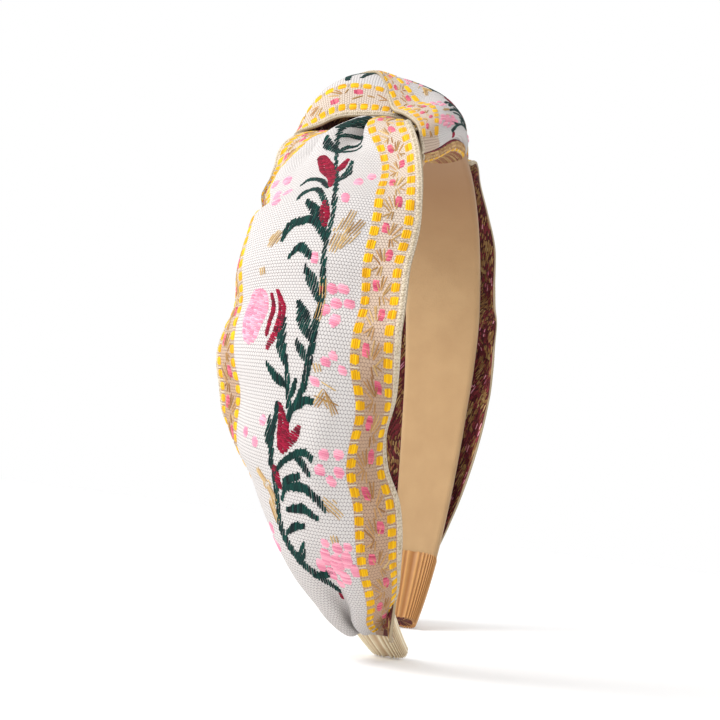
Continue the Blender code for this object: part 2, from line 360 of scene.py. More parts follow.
def section(arm, degrees, u):
    """Across and outward places of the ribbon's section at each angle. Only pinch changes its flat length."""
    lies = {name: through(keys, degrees)[:, None] for name, keys in arm.items()}
    turns = open_turns(lies, u)
    upper = sum(turn * bump(u, place, width) for place, width, turn in UPPER_FOLDS)
    lower = sum(turn * bump(u, place, width) for place, width, turn in LOWER_FOLDS)
    folds = np.where(degrees[:, None] < 90, upper, lower)
    step = u[1] - u[0]
    amount = fold_amount(turns, folds, lies["chord"], step)
    pleat = bump(u, PLEAT_U - PLEAT_REACH, PLEAT_WIDTH) - bump(u, PLEAT_U + PLEAT_REACH, PLEAT_WIDTH)
    angle = turns + amount * folds + lies["pleat"] * pleat
    across = lies["edge"] + np.cumsum(np.cos(angle), 1) * step * lies["pinch"]
    outward = -np.cumsum(np.sin(angle), 1) * step
    outward = outward - outward.max(1, keepdims=True) + lies["rise"]
    return across, outward


def over_band(degrees, across, outward):
    """Keeps cloth above the band where it crosses it."""
    half = half_width(np.radians(degrees))[:, None] + SIDE_GAP
    lowest = CORE_OUTER + OUTER_GAP - SIDE_DROP * smooth((np.abs(across) - half) / SIDE_REACH)
    over = outward - lowest
    return lowest + np.where(over > 1.0, over, np.exp(np.minimum(over, 1.0) - 1.0))


def arm_cloth(side):
    """The ribbon of one arm. v is 0 where it comes out of the knot, and less than 0 inside the knot."""
    u = np.linspace(-HALF_RIBBON, HALF_RIBBON, U_STEPS)
    degrees = np.linspace(RIBBON_HIDDEN_START, RIBBON_END, V_STEPS)
    across, outward = section(LEFT_ARM if side < 0 else RIGHT_ARM, degrees, u)
    outward = over_band(degrees, across, outward)
    grid = arc(side, np.radians(degrees)[:, None], outward, across)
    middle = arc(side, np.radians(degrees), LENGTH_RISE, 0.0)
    v = lengths(np.linalg.norm(np.diff(middle, axis=0), axis=1))
    v = v - np.interp(RIBBON_START, degrees, v)
    return Cloth(grid, u, np.linspace(v[0], v[-1], V_STEPS)).face(ARCH_MIDDLE)


# ------ the knot's strips
# Each strip is given by sections from its start to its end, and each section by points from its first
# selvedge to its second, in mm.

KNOT_MIDDLE = (0.0, 1.0, 138.0)
KNOT_ROWS = 121
KNOT_COLUMNS = 91
# The columns of a strip's first border, along which its length is measured.
KNOT_BORDER = slice(4, 20)

OVER_WRAP = (
    ((-15, 13, 131), (-9, 13, 130.8), (-3, 13, 130.6), (3, 13, 130.6), (9, 13, 130.8), (15, 13, 131)),
    ((-24, 21, 129.3), (-14, 22.5, 127.6), (-5, 23.5, 127), (5, 23.5, 127), (14, 22.5, 127.6),
     (23, 21, 129.3)),
    ((-28.5, 27, 131.6), (-18, 29.5, 133), (-6, 30.5, 134), (6, 30.5, 134), (18, 29, 133), (28, 26, 132)),
    ((-25.8, 21.5, 135.6), (-18, 26.8, 144), (-7, 28.4, 148.5), (7, 28.2, 148), (18, 26, 142.5),
     (25.5, 21, 136)),
    ((-24.6, 16.5, 138.6), (-18, 19.8, 149.8), (-8, 21.8, 155), (7, 21.5, 154.6), (17.5, 19, 147.5),
     (24.5, 16, 139)),
    ((-24, 9.5, 139.6), (-17.5, 11, 150.6), (-8, 12.5, 157.3), (7, 12.5, 156.4), (17, 11, 149),
     (24, 9.5, 140)),
    ((-23.5, 2.3, 139.8), (-17, 2, 148), (-8, 2, 153.2), (7, 2, 153.2), (17, 2, 147.5), (23.5, 2, 140)),
    ((-22, -5, 138.6), (-16, -6, 143.5), (-7, -7, 147.5), (7, -7, 147.5), (16, -6, 143.5), (21.5, -5, 138.8)),
)
CROSS_WRAP = (
    ((4, 29.8, 136), (9, 31.4, 136.5), (15, 31.2, 136.5), (21, 29.4, 135.5), (26, 26.5, 134),
     (28.5, 21.5, 133)),
    ((-1, 28.6, 148.2), (5, 29.2, 150), (12, 28.2, 149.5), (19, 26, 147), (25, 22, 143), (27.5, 17, 139)),
    ((-6, 21.8, 155.6), (0, 22.2, 157.6), (8, 21, 156.8), (16, 19, 153.5), (23, 15.5, 148), (26, 11, 142)),
    ((-10, 12.3, 157.6), (-4, 12.8, 159.4), (4, 12, 159.2), (13, 10.5, 155.5), (21, 9, 150), (25, 6, 143.5)),
    ((-16, 7.4, 151.6), (-10, 5.8, 156), (-2, 4.5, 157.6), (8, 3.5, 156), (17.5, 2.5, 151), (24, 1, 143.5)),
    ((-19.5, 5.2, 146.9), (-14.5, 0.6, 151.2), (-6, -1.8, 155), (4, -3, 155), (14, -3.4, 150.5),
     (22, -4, 142.5)),
    ((-23.4, 2.4, 142), (-18.2, -4, 146.2), (-10, -7.8, 151), (1, -9, 151.5), (12, -9, 147.5),
     (20.5, -9, 140.5)),
    ((-31, -2.5, 138.2), (-26.5, -9.5, 142.2), (-14, -12.6, 146), (-2, -13.2, 147), (9, -12.6, 144.5),
     (18.5, -11.8, 140)),
    ((-38.5, -7, 134), (-34, -12.6, 137.6), (-19, -15, 142), (-4, -15, 142.6), (7, -13.6, 142),
     (16.5, -12.6, 140)),
    ((-46, -10.5, 129.6), (-41, -14.4, 132.8), (-23, -16.4, 138.8), (-6, -15.8, 140.2), (5, -14, 140.6),
     (14.5, -12.8, 140)),
    ((-51, -12.5, 125), (-44, -15.2, 128.4), (-26, -17.3, 136.4), (-8, -16, 138.8), (4, -14, 139.6),
     (13.5, -12.8, 139.4)),
    ((-53.5, -13.9, 121.2), (-41.5, -15.4, 126.9), (-26.5, -17, 134.9), (-9, -15.6, 138), (3.5, -13.8, 139.2),
     (13.5, -12.6, 139.2)),
    ((-52.5, -13.2, 120.6), (-41, -14.3, 126), (-26, -15.2, 133.6), (-10, -14.2, 137), (3, -13, 138.2),
     (13.3, -12, 138.6)),
)
UNDER_PASS = (
    ((-51.5, -12.8, 121.4), (-40, -13.6, 126.6), (-25, -14.4, 134), (-14, -14.4, 137), (-8, -14.2, 138),
     (-4.5, -13.6, 138)),
    ((-52, -14, 120.4), (-40, -14.9, 125.4), (-25, -15.9, 132.9), (-14, -16, 136), (-8, -15.6, 137),
     (-4.5, -14.6, 137)),
    ((-50, -13.4, 119.6), (-38, -14.2, 124.6), (-24, -14.9, 131), (-13.5, -15.2, 133.4), (-8, -14.8, 134.4),
     (-4.5, -14, 135.2)),
    ((-30, -10, 129.4), (-26, -10, 129.2), (-20, -10.5, 130.5), (-13, -10.5, 131.8), (-8, -10, 132.9),
     (-4.5, -9.5, 134.8)),
    ((-24, -2, 132), (-22.8, -2, 130.2), (-18, -2, 131), (-13, -2, 132.2), (-8, -2, 133.2), (-4.5, -2, 135)),
    ((-23.9, 6, 132.2), (-23, 6, 130), (-18, 6, 131), (-13, 6, 132.2), (-8, 6, 133.2), (-4.5, 6, 135)),
    ((-23.8, 11, 132.6), (-23, 12.4, 131.6), (-18, 13, 132.8), (-13, 13.2, 133.8), (-8, 13, 134.6),
     (-4.5, 11.6, 135.6)),
    ((-23.4, 11.4, 137), (-22.8, 13.4, 137), (-18, 14.4, 139), (-13, 14.8, 140.6), (-8, 14.6, 141),
     (-4.5, 12, 141)),
)


def strip_grid(sections):
    """The points of a strip of ribbon, on a smooth surface through its sections' points."""
    net = np.array(sections, float)
    along = np.linspace(0, len(sections) - 1, KNOT_ROWS)
    across = np.linspace(0, net.shape[1] - 1, KNOT_COLUMNS)
    rows = np.stack([through(dict(enumerate(net[:, i])), along) for i in range(net.shape[1])], 1)
    return np.stack([through(dict(enumerate(row)), across) for row in rows])


def knot_cloth(sections):
    """One pass of the knot, with its rows evenly spaced along its first border."""
    grid = strip_grid(sections)
    steps = np.linalg.norm(np.diff(grid, axis=0), axis=-1)
    v = lengths(steps[:, KNOT_BORDER].mean(1))
    even = np.linspace(0, v[-1], KNOT_ROWS)
    u = np.linspace(-HALF_RIBBON, HALF_RIBBON, KNOT_COLUMNS)
    cloth = Cloth(respaced(grid, v, even), u, even)
    cloth.length = steps.sum(0).mean()
    return cloth.face(KNOT_MIDDLE)


# ------ colours, sRGB from 0 to 255

# The gap colours are the darker warp between thread tops, with painted shade in those recesses.
FIELD_TOP = (200, 196, 194)
FIELD_GAP_SHADED = (74, 64, 74)
BORDER_TOP = (198, 182, 167)
BORDER_GAP_SHADED = (104, 74, 58)
# Painted shade: the border's colours further down an arm.
BORDER_TOP_ARM_SHADE = (176, 143, 116)
BORDER_GAP_ARM_SHADE = (84, 50, 34)
SELVEDGE_TOP = (206, 192, 170)
SELVEDGE_GAP_SHADED = (140, 120, 94)
YARN_SHADE = (196, 180, 168)
REVERSE_DARK = (40, 12, 12)
REVERSE_MID = (124, 56, 50)
REVERSE_TAN = (158, 114, 70)
SUEDE_DARK = (166, 132, 92)
SUEDE_LIGHT = (188, 155, 112)
SUEDE_NAP = (148, 114, 76)
# Painted shade on the lining near the crown, under the knot.
SUEDE_CROWN_SHADE = (136, 94, 54)
PLASTIC_DARK = (206, 200, 190)
PLASTIC_LIGHT = (224, 219, 210)
FLOOR_DARK = (253, 253, 253)
FLOOR_LIGHT = (255, 255, 255)

# The borders take painted shade down the arm from one v, and the lining painted shade up to the crown from
# another, by so much a mm.
BORDER_SHADE_FROM = 80.0
BORDER_SHADE_BY = 0.025
SUEDE_SHADE_FROM = 68.0
SUEDE_SHADE_BY = 0.017
SUEDE_MOST_SHADE = 0.75
# How steeply a thread top of the plain weave falls off across and along the ribbon.
WARP_FALL = 3.3
WEFT_FALL = 2.3

# ------ materials


def linear(colour):
    """An sRGB colour from 0 to 255 as a linear one with alpha."""
    return (*[(c / 255 / 12.92) if c < 10.3 else ((c / 255 + 0.055) / 1.055) ** 2.4 for c in colour], 1.0)


class Graph:
    """A material's node tree, with short calls for the sums in it."""

    def __init__(self, name, rough, **sockets):
        self.material = bpy.data.materials.new(name)
        self.material.use_nodes = True
        self.tree = self.material.node_tree
        self.shader = self.tree.nodes["Principled BSDF"]
        self.shader.inputs["Roughness"].default_value = rough
        for socket, value in sockets.items():
            self.shader.inputs[socket.replace("_", " ")].default_value = value

    def put(self, socket, value):
        """Links a node's output to a socket, or sets a constant on it."""
        if isinstance(value, bpy.types.NodeSocket):
            self.tree.links.new(value, socket)
        else:
            socket.default_value = value

    def math(self, operation, *values):
        node = self.tree.nodes.new("ShaderNodeMath")
        node.operation = operation
        for socket, value in zip(node.inputs, values):
            self.put(socket, value)
        return node.outputs[0]

    def plus(self, first, second):
        return self.math("ADD", first, second)

    def minus(self, first, second):
        return self.math("SUBTRACT", first, second)

    def times(self, first, second):
        return self.math("MULTIPLY", first, second)

    def zigzag(self, value, top):
        """Runs from 0 up to top and back again."""
        return self.math("PINGPONG", value, top)

    def ramp(self, value, rate, most):
        """The value times the rate, held between 0 and most."""
        return self.math("MAXIMUM", self.math("MINIMUM", self.times(value, rate), most), 0.0)

    def mix(self, factor, first, second):
        node = self.tree.nodes.new("ShaderNodeMix")
        node.data_type = "RGBA"
        for place, value in ((0, factor), (6, first), (7, second)):
            self.put(node.inputs[place], value)
        return node.outputs[2]

    def noise(self, vector, scale, detail=2.0):
        node = self.tree.nodes.new("ShaderNodeTexNoise")
        self.put(node.inputs["Vector"], vector)
        node.inputs["Scale"].default_value = scale
        node.inputs["Detail"].default_value = detail
        return node.outputs["Fac"]

    def flat(self):
        """The cloth vector, and its parts u, v and tone."""
        vector = self.tree.nodes.new("ShaderNodeAttribute")
        vector.attribute_name = "cloth"
        parts = self.tree.nodes.new("ShaderNodeSeparateXYZ")
        self.put(parts.inputs[0], vector.outputs["Vector"])
        return vector.outputs["Vector"], parts.outputs[0], parts.outputs[1], parts.outputs[2]

    def stretched(self, vector, scale):
        node = self.tree.nodes.new("ShaderNodeVectorMath")
        node.operation = "MULTIPLY"
        self.put(node.inputs[0], vector)
        node.inputs[1].default_value = scale
        return node.outputs[0]

    def solid(self):
        """The place on the object itself, for pieces that aren't cloth."""
        node = self.tree.nodes.new("ShaderNodeTexCoord")
        return node.outputs["Object"]

    def finish(self, colour, height=None, depth=0.1):
        """Connects the colour and the bump, whose depth is in mm."""
        self.put(self.shader.inputs["Base Color"], colour)
        if height is not None:
            node = self.tree.nodes.new("ShaderNodeBump")
            node.inputs["Strength"].default_value = 1.0
            node.inputs["Distance"].default_value = depth * MM
            self.put(node.inputs["Height"], height)
            self.put(self.shader.inputs["Normal"], node.outputs["Normal"])
        return self.material


def weave_height(graph, u, v):
    """The height of plain-weave crossings: rounded thread tops in staggered rows."""
    row = graph.math("FLOOR", graph.math("DIVIDE", v, WEFT_PITCH))
    shift = graph.times(graph.zigzag(row, 1.0), 0.5)
    place = graph.plus(graph.math("DIVIDE", u, WARP_PITCH), shift)
    x = graph.minus(graph.math("FRACT", place), 0.5)
    y = graph.minus(graph.math("FRACT", graph.math("DIVIDE", v, WEFT_PITCH)), 0.5)
    far = graph.plus(graph.times(graph.times(x, x), WARP_FALL), graph.times(graph.times(y, y), WEFT_FALL))
    return graph.math("SQRT", graph.math("MAXIMUM", graph.minus(1.0, far), 0.0))


def weave_material():
    """Plain weave: pale field, warmer border bands and a cream selvedge, by the place on the cloth. The gaps
    between thread tops show the darker warp with painted shade, and the borders take painted shade further
    down an arm.
    """
    graph = Graph("woven ribbon", 0.85, Sheen_Weight=0.04, Specular_IOR_Level=0.25)
    vector, u, v, _ = graph.flat()
    height = weave_height(graph, u, v)
    wide = graph.math("ABSOLUTE", u)
    border = graph.math("GREATER_THAN", wide, FIELD_EDGE)
    # Painted shade on the borders, growing down the arm.
    low = graph.ramp(graph.minus(v, BORDER_SHADE_FROM), BORDER_SHADE_BY, 1.0)
    border_top = graph.mix(low, linear(BORDER_TOP), linear(BORDER_TOP_ARM_SHADE))
    border_gap = graph.mix(low, linear(BORDER_GAP_SHADED), linear(BORDER_GAP_ARM_SHADE))
    selvedge = graph.math("GREATER_THAN", wide, SELVEDGE_U)
    top = graph.mix(selvedge, graph.mix(border, linear(FIELD_TOP), border_top), linear(SELVEDGE_TOP))
    gap = graph.mix(selvedge, graph.mix(border, linear(FIELD_GAP_SHADED), border_gap), linear(SELVEDGE_GAP_SHADED))
    # Painted shade: the lower a place lies between thread tops, the nearer its colour is to the shaded gap
    # colour.
    colour = graph.mix(graph.times(height, 1.5), gap, top)
    uneven = graph.noise(graph.stretched(vector, (1.0, 0.35, 1.0)), 0.9)
    colour = graph.mix(graph.times(uneven, 0.16), colour, linear(YARN_SHADE))
    fibre = graph.noise(vector, 6.0, 3.0)
    return graph.finish(colour, graph.plus(height, graph.times(fibre, 0.25)), 0.16)


def reverse_material():
    """The reverse: streaks of dark red yarn with tan patches, under the loose yarns."""
    graph = Graph("ribbon reverse", 0.85, Sheen_Weight=0.05)
    vector, u, v, _ = graph.flat()
    streak = graph.zigzag(graph.plus(graph.times(u, 1.35), graph.times(v, 0.8)), 0.55)
    patch = graph.noise(graph.stretched(vector, (0.5, 0.22, 1.0)), 1.0, 3.0)
    colour = graph.mix(graph.times(streak, 1.6), linear(REVERSE_DARK), linear(REVERSE_MID))
    colour = graph.mix(graph.math("GREATER_THAN", patch, 0.56), colour, linear(REVERSE_TAN))
    return graph.finish(colour, streak, 0.2)


def yarn_material(name, colour, shade, rough):
    """A float of twisted yarn: each one has its own tone, and fine diagonal fibres."""
    graph = Graph(name, rough, Sheen_Weight=0.02, Specular_IOR_Level=0.2)
    vector, u, v, tone = graph.flat()
    twist = graph.zigzag(graph.plus(graph.times(u, 3.0), graph.times(v, 2.2)), 0.5)
    base = graph.mix(tone, linear(shade), linear(colour))
    base = graph.mix(graph.times(twist, 0.35), base, linear(shade))
    fibre = graph.noise(vector, 5.0, 3.0)
    return graph.finish(base, graph.plus(twist, fibre), 0.06)


def suede_material():
    """Brushed suede in clouds of two tans, with painted shade towards the crown, under the knot."""
    graph = Graph("lining suede", 0.92, Sheen_Weight=0.12, Sheen_Roughness=0.6)
    vector, _, v, _ = graph.flat()
    cloud = graph.noise(vector, 0.10, 3.0)
    nap = graph.noise(vector, 3.2, 4.0)
    colour = graph.mix(cloud, linear(SUEDE_DARK), linear(SUEDE_LIGHT))
    colour = graph.mix(graph.times(nap, 0.3), colour, linear(SUEDE_NAP))
    # Painted shade: the lining darkens towards the crown, under the knot.
    up = graph.ramp(graph.minus(SUEDE_SHADE_FROM, v), SUEDE_SHADE_BY, SUEDE_MOST_SHADE)
    colour = graph.mix(up, colour, linear(SUEDE_CROWN_SHADE))
    return graph.finish(colour, nap, 0.07)


def grosgrain_material(name, light, dark):
    """Ribbed ribbon: u runs round the sleeve in ribs, so whole numbers are the tops of ribs. The first colour
    is a painted highlight on the rib tops and the second painted shade in the valleys; the second also tints
    the weft lines and patches.
    """
    graph = Graph(name, 0.42, Sheen_Weight=0.2)
    vector, u, v, _ = graph.flat()
    # Painted highlight on the rib tops and painted shade in the valleys between them.
    valley_shade = graph.zigzag(u, 0.5)
    colour = graph.mix(graph.times(valley_shade, 1.7), linear(light), linear(dark))
    weft = graph.zigzag(graph.math("DIVIDE", v, 0.34), 0.5)
    colour = graph.mix(graph.times(weft, 0.35), colour, linear(dark))
    patch = graph.noise(graph.stretched(vector, (0.4, 0.3, 1.0)), 1.0)
    colour = graph.mix(graph.times(patch, 0.3), colour, linear(dark))
    return graph.finish(colour, weft, 0.05)


def plastic_material():
    """The moulding's plastic, with a faint mottle."""
    graph = Graph("band plastic", 0.45)
    cloud = graph.noise(graph.solid(), 240.0, 3.0)
    colour = graph.mix(cloud, linear(PLASTIC_DARK), linear(PLASTIC_LIGHT))
    return graph.finish(colour, graph.noise(graph.solid(), 2600.0, 2.0), 0.02)


def floor_material():
    """White paper."""
    graph = Graph("floor", 0.9)
    return graph.finish(graph.mix(graph.noise(graph.solid(), 30.0), linear(FLOOR_DARK), linear(FLOOR_LIGHT)))


WEAVE = weave_material()
REVERSE = reverse_material()
SELVEDGE = yarn_material("selvedge yarn", (212, 200, 178), (168, 152, 126), 0.85)
SUEDE = suede_material()
# Each wrap's first colour is a painted highlight on its rib tops, its second painted shade in the valleys.
FAR_GROSGRAIN = grosgrain_material("ribbed ribbon right", (210, 156, 88), (136, 80, 22))
NEAR_GROSGRAIN = grosgrain_material("ribbed ribbon left", (255, 248, 220), (180, 140, 90))
PLASTIC = plastic_material()
YELLOW, GREEN, CRIMSON, PINK, TAN, BROWN, CREAM, MAROON, ROSE = range(9)
YARNS = [
    yarn_material("yellow yarn", (240, 190, 0), (204, 146, 0), 0.6),
    yarn_material("green yarn", (2, 66, 58), (0, 20, 24), 0.7),
    yarn_material("crimson yarn", (158, 4, 50), (92, 0, 28), 0.7),
    yarn_material("pink yarn", (246, 178, 194), (216, 126, 152), 0.7),
    yarn_material("tan yarn", (210, 178, 122), (150, 112, 62), 0.65),
    yarn_material("brown yarn", (190, 148, 98), (140, 98, 58), 0.65),
    SELVEDGE,
    yarn_material("dark red yarn", (158, 64, 72), (78, 24, 32), 0.7),
    yarn_material("rose yarn", (228, 118, 138), (178, 66, 94), 0.7),
]


# ------ woven figures

FLOAT_PITCH = 0.42
FLOAT_WIDTH = 0.54
FLOAT_HEIGHT = 0.3
FLOAT_SINK = 0.04
FLOAT_OVERLAP = 0.14
LONGEST_FLOAT = 2.3
FRAY_ALONG = 0.4
FRAY_ACROSS = 0.12
FILL_STEP = 0.12
TRAIL_STEP = 0.25
# The section of one float: places and heights along it and across it, and how its width narrows.
STRAND_ALONG = np.array([0.0, 0.16, 0.5, 0.84, 1.0])
STRAND_RISE = np.array([0.0, 0.85, 1.0, 0.85, 0.0])
STRAND_WAIST = np.array([0.7, 0.95, 1.0, 0.95, 0.7])
STRAND_ACROSS = np.array([-1.0, -0.5, 0.5, 1.0])
STRAND_DOME = np.array([-0.25, 0.8, 0.8, -0.25])
# Ears of wheat: how far from their middle yarns are laid, the yarns' pitch, width and length in steps of the
# trail, and how much wider the ears are than their lines say.
WHEAT_REACH = 3.1
WHEAT_PITCH = 0.62
WHEAT_YARN = 0.34
WHEAT_STEPS = 18
WHEAT_SPREAD = 2.0


def float_places(floats):
    """Flat places of each float's points: a strip that narrows towards its ends."""
    start, run = floats[:, None, None, 0:2], (floats[:, 2:4] - floats[:, 0:2])[:, None, None, :]
    side = np.stack([-run[..., 1], run[..., 0]], -1)
    side = side / np.maximum(np.linalg.norm(side, axis=-1), 1e-6)[..., None]
    along, across = STRAND_ALONG[None, :, None], STRAND_ACROSS[None, None, :]
    width = floats[:, 4][:, None, None] / 2 * STRAND_WAIST[None, :, None] * across
    return start + run * along[..., None] + side * width[..., None]


def float_mesh(name, cloth, floats, front=True, seed=1):
    """Raised yarns on a cloth. Each float is u, v at its start and at its end, its width, and its yarn."""
    floats = np.array(floats, float)
    place = float_places(floats)
    rise = FLOAT_HEIGHT * STRAND_RISE[None, :, None] * STRAND_DOME[None, None, :]
    lift = RIBBON_THICKNESS / 2 - FLOAT_SINK + rise
    lift = np.broadcast_to(lift, place.shape[:3]) * (1 if front else -1)
    points = cloth.at(place[..., 0], place[..., 1], lift)
    tone = np.random.default_rng(seed).uniform(0, 1, len(floats))[:, None, None]
    flat = np.concatenate([place, np.broadcast_to(tone, place.shape[:3])[..., None]], -1)
    rows, columns = len(STRAND_ALONG), len(STRAND_ACROSS)
    one = grid_faces(rows, columns, flip=(cloth.hand > 0) == front)
    faces = (np.arange(len(floats))[:, None, None] * rows * columns + one).reshape(-1, 4)
    index = np.repeat(floats[:, 5].astype(int), len(one))
    return new_mesh(name, points.reshape(-1, 3), faces, YARNS, index, flat.reshape(-1, 3))


def trail(points, widths):
    """A drawn line as closely spaced discs: places and radii, smooth through its points."""
    points = np.array(points, float)
    last = len(points) - 1
    length = np.linalg.norm(np.diff(points, axis=0), axis=1).sum()
    t = np.linspace(0, last, max(3, int(length / TRAIL_STEP)))
    radii = np.interp(t, np.linspace(0, last, len(widths)), widths) / 2
    return through(dict(enumerate(points)), t), radii


def oval(u, v, half_u, half_v):
    """A petal or bud as a short thick trail along v."""
    reach = max(half_v - half_u, 0.05)
    return trail([(u, v - reach), (u, v), (u, v + reach)], [1.5 * half_u, 2 * half_u, 1.5 * half_u])


def runs(shape, line, low, high):
    """The stretches of one line that lie inside a drawn shape."""
    places, radii = shape
    v = np.arange(low, high, FILL_STEP)
    gap = np.hypot(places[:, 0][None] - line, places[:, 1][None] - v[:, None]) - radii[None]
    inside = np.concatenate([[False], (gap < 0.05).any(1), [False]])
    edges = np.flatnonzero(np.diff(inside.astype(int)))
    return [(low + first * FILL_STEP, low + last * FILL_STEP) for first, last in zip(edges[::2], edges[1::2])]


def filled(shape, colour, rng, across=False, slant=0.16, longest=LONGEST_FLOAT):
    """Floats that fill a drawn shape, line by line, with uneven ends as a loom leaves them."""
    places, radii = shape
    if across:
        places = places[:, ::-1]
    low = (places - radii[:, None]).min(0)
    high = (places + radii[:, None]).max(0)
    fray = FRAY_ACROSS if across else FRAY_ALONG
    first_line, last_line = math.ceil(low[0] / FLOAT_PITCH), math.floor(high[0] / FLOAT_PITCH)
    floats = []
    for line in np.arange(first_line, last_line + 1) * FLOAT_PITCH:
        for a, b in runs((places, radii), line, low[1], high[1]):
            a, b = a - rng.uniform(0, fray), b + rng.uniform(0, fray)
            pieces = max(1, math.ceil((b - a) / longest - 0.2))
            cuts = np.linspace(a, b, pieces + 1)
            cuts[1:-1] += rng.uniform(-0.4, 0.4, pieces - 1)
            for start, end in zip(cuts[:-1], cuts[1:]):
                lean = slant * (end - start) / 2
                near, far = (line - lean, start - FLOAT_OVERLAP), (line + lean, end + FLOAT_OVERLAP)
                if across:
                    near, far = near[::-1], far[::-1]
                floats.append((*near, *far, FLOAT_WIDTH, colour))
    return floats


def strands(shape, colour, rng):
    """Thin parallel yarns that follow a drawn line, as in ears of wheat."""
    places, radii = shape
    run = np.gradient(places, axis=0)
    side = np.stack([-run[:, 1], run[:, 0]], 1) / np.maximum(np.linalg.norm(run, axis=1), 1e-6)[:, None]
    floats = []
    for offset in np.arange(-WHEAT_REACH, WHEAT_REACH + 0.01, WHEAT_PITCH):
        inside = np.flatnonzero(radii > abs(offset) - 0.1)
        if len(inside) < 3:
            continue
        first, last = inside[0] + rng.integers(0, 2), inside[-1]
        pieces = max(1, round((last - first) / WHEAT_STEPS))
        cuts = np.linspace(first, last, pieces + 1).astype(int)
        for a, b in zip(cuts[:-1], cuts[1:]):
            start, end = places[a] + side[a] * offset, places[b] + side[b] * offset
            floats.append((*start, *end, WHEAT_YARN, colour))
    return floats


# One repeat of the ribbon's vine, in mm on the flat ribbon: leaves and stems as lines with widths.
VINE = (
    (((-3, 22), (-3.6, 36), (-5.6, 50), (-5, 60), (-7, 74), (-7.3, 84), (-7.5, 95), (-7.4, 103)),
     (0.7, 0.8, 1.1)),
    (((-7.4, 103), (-8, 108), (-7, 113), (-5, 117), (-1.8, 121.5)), (1.2, 1.4, 1.0)),
    (((-0.2, 105), (-1.8, 113), (-1.2, 119), (-1.8, 123)), (0.9, 1.1)),
    (((1.6, 121), (1.5, 129), (1.0, 134), (1.8, 140), (1.0, 146), (-2.6, 150.6), (-5.2, 153.2),
     (-9.8, 158.4)), (1.0, 1.3, 1.1)),
    (((-6, 51), (-3.6, 47.5), (-2, 43.5)), (1.2, 2.4, 0.5)),
    (((-3.0, 38), (-3.8, 30), (-4, 22)), (1.6, 3.4, 1.6)),
    (((-5, 43), (-7.5, 37), (-8, 31)), (0.6, 2.0, 0.6)),
    (((-6.5, 50), (-8.5, 45.5), (-13.6, 45)), (0.6, 1.5, 0.7)),
    (((-6, 51), (-9, 50), (-12.5, 48.7)), (0.6, 1.2, 0.4)),
    (((-6, 68), (-7.8, 63), (-9, 57.5)), (0.6, 2.1, 0.5)),
    (((2.2, 74.4), (0.6, 71), (-2, 70.8), (-5.6, 77.2)), (0.6, 1.7, 1.4, 0.8)),
    (((4.2, 64.2), (2.4, 61.8), (-1.2, 64.2), (-4.6, 70.5)), (0.5, 1.4, 1.1, 0.6)),
    (((-0.6, 75.6), (-3, 78.4), (-6.8, 85)), (0.9, 2.0, 0.8)),
    (((3.6, 85.8), (2.4, 82.2), (-0.6, 81), (-3.6, 81.4), (-6.8, 86)), (0.6, 2.2, 1.9, 1.4, 0.8)),
    (((0.7, 90.2), (-1.5, 88), (-4.4, 90.2)), (0.5, 1.9, 0.8)),
    (((-3.2, 92.4), (-5.0, 95.4), (-7, 100)), (0.5, 2.2, 0.9)),
    (((-2.3, 100.6), (-4.6, 104.2), (-7.8, 108.2)), (0.5, 2.4, 0.9)),
    (((-4, 108.5), (-5.6, 110.4), (-7.4, 112.6)), (0.4, 1.3, 0.6)),
    (((0.6, 106.4), (-0.5, 110), (-1.8, 113.4)), (0.5, 1.7, 0.7)),
    (((3.2, 113.4), (1.2, 115.6), (-1.1, 117.2)), (0.5, 1.8, 0.7)),
    (((-3.6, 115.8), (-2.6, 117.6), (-1.4, 119.4)), (0.4, 1.2, 0.5)),
    (((-2.2, 121.6), (-4.6, 119.6), (-7.2, 119.2)), (0.5, 1.5, 0.7)),
    (((3.5, 123.2), (2.6, 127), (1.1, 130)), (0.5, 1.6, 0.8)),
    (((2.0, 120.8), (1.9, 125), (1.5, 128.6)), (0.5, 1.2, 0.9)),
    (((0.6, 134), (-3.6, 130.2), (-7, 129), (-8.8, 130)), (0.7, 1.0, 1.0, 0.5)),
    (((-5, 130.2), (-6.6, 131), (-8.2, 133)), (0.5, 1.2, 0.5)),
    (((0.2, 139), (-2, 135.2), (-5.6, 133.6)), (0.6, 1.2, 0.7)),
    (((-1.2, 136.6), (-5.8, 135.8), (-8.6, 137.4), (-10, 139.6)), (0.6, 1.6, 1.3, 0.5)),
    (((-1.0, 141), (-4.6, 140), (-8.2, 141.2)), (0.6, 1.5, 0.6)),
    (((-0.4, 146), (-2.6, 144.2), (-4.8, 143.6)), (0.6, 1.5, 0.7)),
    (((-2.5, 150.8), (-4.0, 149.6), (-4.6, 147.2)), (0.7, 1.8, 0.6)),
    (((-5.8, 154.2), (-8.0, 154.0), (-10, 152.8)), (0.7, 1.6, 0.6)),
)
WHEAT = (
    (((-9, 89.6), (-10.2, 84), (-12, 78)), (0.9, 1.9, 0.6)),
    (((-10.2, 88), (-12.2, 84.4), (-14.4, 80.4)), (0.8, 1.6, 0.6)),
    (((7, 87.6), (5.8, 85.4), (4.6, 83)), (0.8, 1.6, 0.8)),
    (((8.2, 92), (7.8, 94)), (0.9, 0.9)),
    (((-7.4, 120.4), (-9, 117.8), (-10.6, 117.8), (-12, 121.6)), (0.6, 1.7, 1.9, 0.8)),
    (((-8.8, 112.2), (-9.2, 114)), (0.8, 0.8)),
    (((-7.6, 94.6), (-7.9, 105)), (0.9, 0.9)),
    (((-9.5, 137.2), (-11.4, 138.6), (-13.6, 141)), (0.5, 1.3, 0.8)),
    (((-11.4, 144.4), (-11.9, 146.2)), (1.1, 1.1)),
    (((6.4, 134), (4.2, 137), (1.9, 141)), (0.6, 1.3, 0.6)),
    (((4.6, 139.6), (3, 142), (1.8, 145)), (0.5, 1.1, 0.5)),
)
